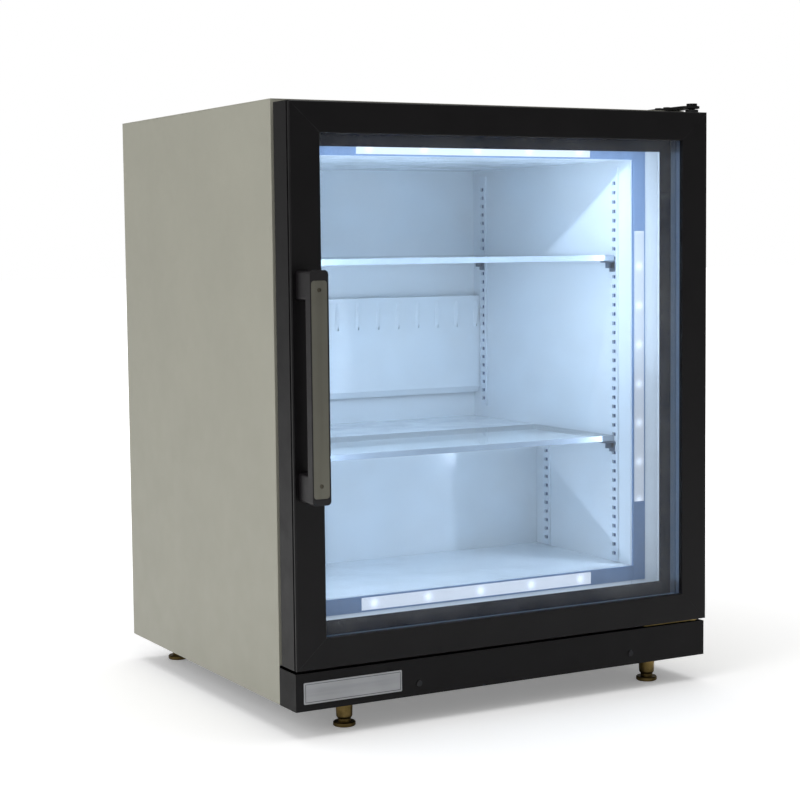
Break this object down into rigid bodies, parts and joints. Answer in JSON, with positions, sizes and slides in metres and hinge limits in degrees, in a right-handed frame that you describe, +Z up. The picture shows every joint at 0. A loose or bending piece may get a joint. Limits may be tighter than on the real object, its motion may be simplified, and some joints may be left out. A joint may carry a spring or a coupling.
{
  "type": "countertop glass door merchandiser",
  "caption": "Small upright display cooler: insulated cabinet, hinged insulated glass door with bridge handle, glass shelves, light bars and a rear cooling unit on screw feet.",
  "frame": {"origin": "middle of the whole body seen from above (handle included), on the plane of the feet", "axes": "+Z up; the door faces -Y; +X to the right seen from the front"},
  "size_m": [0.61, 0.582, 0.771],
  "materials": {
    "painted_steel": "warm grey satin powder coat with a fine orange peel",
    "galvanised_steel": "galvanised sheet with a soft spangle",
    "black_steel": "black semi-gloss powder coat",
    "satin_badge": "satin blank plate with a fine dark border",
    "white_plastic": "smooth white moulded frame",
    "white_liner": "gloss white liner",
    "foam": null,
    "white_standard": "white slotted standard",
    "bright_metal": "zinc-plated steel",
    "led_extrusion": "satin light bar",
    "led_board": "white board with square emitters",
    "led_lens": "frosted lens, lit",
    "fin_aluminium": "mill finish",
    "motor_black": "black motor shell",
    "fan_plastic": "white fan",
    "drain_plastic": "flexible grey tube",
    "compressor_black": "black gloss enamel",
    "black_rubber": "soft black rubber",
    "coil_black": "dark fins",
    "fan_aluminium": "pressed blades",
    "copper": "drawn copper, slightly dulled",
    "knob_plastic": "black knob",
    "red_plastic": "red rocker",
    "yellow_zinc": "yellow zinc plate",
    "foot_bronze": "dark bronzed metal",
    "shelf_glass": "clear tempered glass with bright ground edges",
    "door_frame_black": "black satin extrusion",
    "bush_plastic": "white bush",
    "door_glass": "clear glass",
    "spacer_aluminium": "bright folded spacer",
    "handle_black": "black satin moulding",
    "handle_bronze": "satin grey-bronze insert",
    "handle_screw": "dulled pan heads"
  },
  "bodies": {
    "cabinet": {"side_panel_left": "painted_steel", "side_panel_right": "painted_steel", "top_panel": "painted_steel", "back_panel": "galvanised_steel", "bottom_panels": "galvanised_steel", "base_frame": "black_steel", "kick_plate": "black_steel", "badge_plate": "satin_badge", "front_frame": "white_plastic", "liner_panels": "white_liner", "foam_insulation": "foam", "pilasters": "white_standard", "shelf_clips": "bright_metal", "led_channels": "led_extrusion", "led_boards": "led_board", "led_lenses": "led_lens", "evaporator_cover": "white_liner", "evaporator_coil": "fin_aluminium", "evaporator_fan_motor": "motor_black", "drain_tube": "drain_plastic", "condensate_pan": "motor_black", "compressor": "compressor_black", "compressor_grommets": "black_rubber", "condenser_coil": "coil_black", "fan_shroud": "black_steel", "condenser_fan_motor": "motor_black", "filter_drier": "copper", "refrigerant_tubes": "copper", "control_box": "galvanised_steel", "cord_gland": "black_rubber", "rear_grille": "galvanised_steel", "top_hinge_bracket": "black_steel", "bottom_hinge_bracket": "yellow_zinc", "cabinet_screws": "bright_metal", "foot_sockets": "bright_metal"},
    "evaporator_fan": {"evaporator_fan_blade": "fan_plastic"},
    "condenser_fan": {"condenser_fan_blade": "fan_aluminium"},
    "knob": {"thermostat_knob": "knob_plastic"},
    "rocker": {"light_switch": "red_plastic"},
    "foot_fl": {"foot_front_left": "foot_bronze"},
    "foot_fr": {"foot_front_right": "foot_bronze"},
    "foot_rl": {"foot_rear_left": "foot_bronze"},
    "foot_rr": {"foot_rear_right": "foot_bronze"},
    "upper_shelf": {"shelf_upper": "shelf_glass"},
    "lower_shelf": {"shelf_lower": "shelf_glass"},
    "door": {"door_stile_handle": "door_frame_black", "door_stile_hinge": "door_frame_black", "door_rail_top": "door_frame_black", "door_rail_bottom": "door_frame_black", "corner_keys": "fin_aluminium", "hinge_bush": "bush_plastic", "closer_cartridge": "bright_metal", "glass_panes": "door_glass", "glass_spacers": "spacer_aluminium", "door_gasket": "black_rubber", "handle_body": "handle_black", "handle_insert": "handle_bronze", "handle_screws": "handle_screw"}
  },
  "joints": [
    {"name": "door_hinge", "type": "hinge", "parent": "cabinet", "child": "door", "pos_m": [0.292, -0.234, 0.085], "axis": [0, 0, 1], "range_deg": [0, 120], "stiffness_Nm_per_rad": 1.2, "springref_deg": -20.05},
    {"name": "upper_shelf_lift", "type": "slide", "parent": "cabinet", "child": "upper_shelf", "axis": [0, 0, 1], "range_m": [0, 0.05]},
    {"name": "lower_shelf_lift", "type": "slide", "parent": "cabinet", "child": "lower_shelf", "axis": [0, 0, 1], "range_m": [0, 0.05]},
    {"name": "evaporator_fan_spin", "type": "hinge", "parent": "cabinet", "child": "evaporator_fan", "pos_m": [-0.177, 0.245, 0.441], "axis": [0, 1, 0], "continuous": true},
    {"name": "condenser_fan_spin", "type": "hinge", "parent": "cabinet", "child": "condenser_fan", "pos_m": [-0.187, 0.2, 0.153], "axis": [1, 0, 0], "continuous": true},
    {"name": "thermostat_turn", "type": "hinge", "parent": "cabinet", "child": "knob", "pos_m": [0.165, 0.282, 0.101], "axis": [0, 1, 0], "range_deg": [0, 270]},
    {"name": "light_switch_rock", "type": "hinge", "parent": "cabinet", "child": "rocker", "pos_m": [0.215, 0.281, 0.101], "axis": [1, 0, 0], "range_deg": [0, 20]},
    {"name": "foot_fl_screw_out", "type": "slide", "parent": "cabinet", "child": "foot_fl", "axis": [0, 0, -1], "range_m": [0, 0.008]},
    {"name": "foot_fr_screw_out", "type": "slide", "parent": "cabinet", "child": "foot_fr", "axis": [0, 0, -1], "range_m": [0, 0.008]},
    {"name": "foot_rl_screw_out", "type": "slide", "parent": "cabinet", "child": "foot_rl", "axis": [0, 0, -1], "range_m": [0, 0.008]},
    {"name": "foot_rr_screw_out", "type": "slide", "parent": "cabinet", "child": "foot_rr", "axis": [0, 0, -1], "range_m": [0, 0.008]}
  ]
}
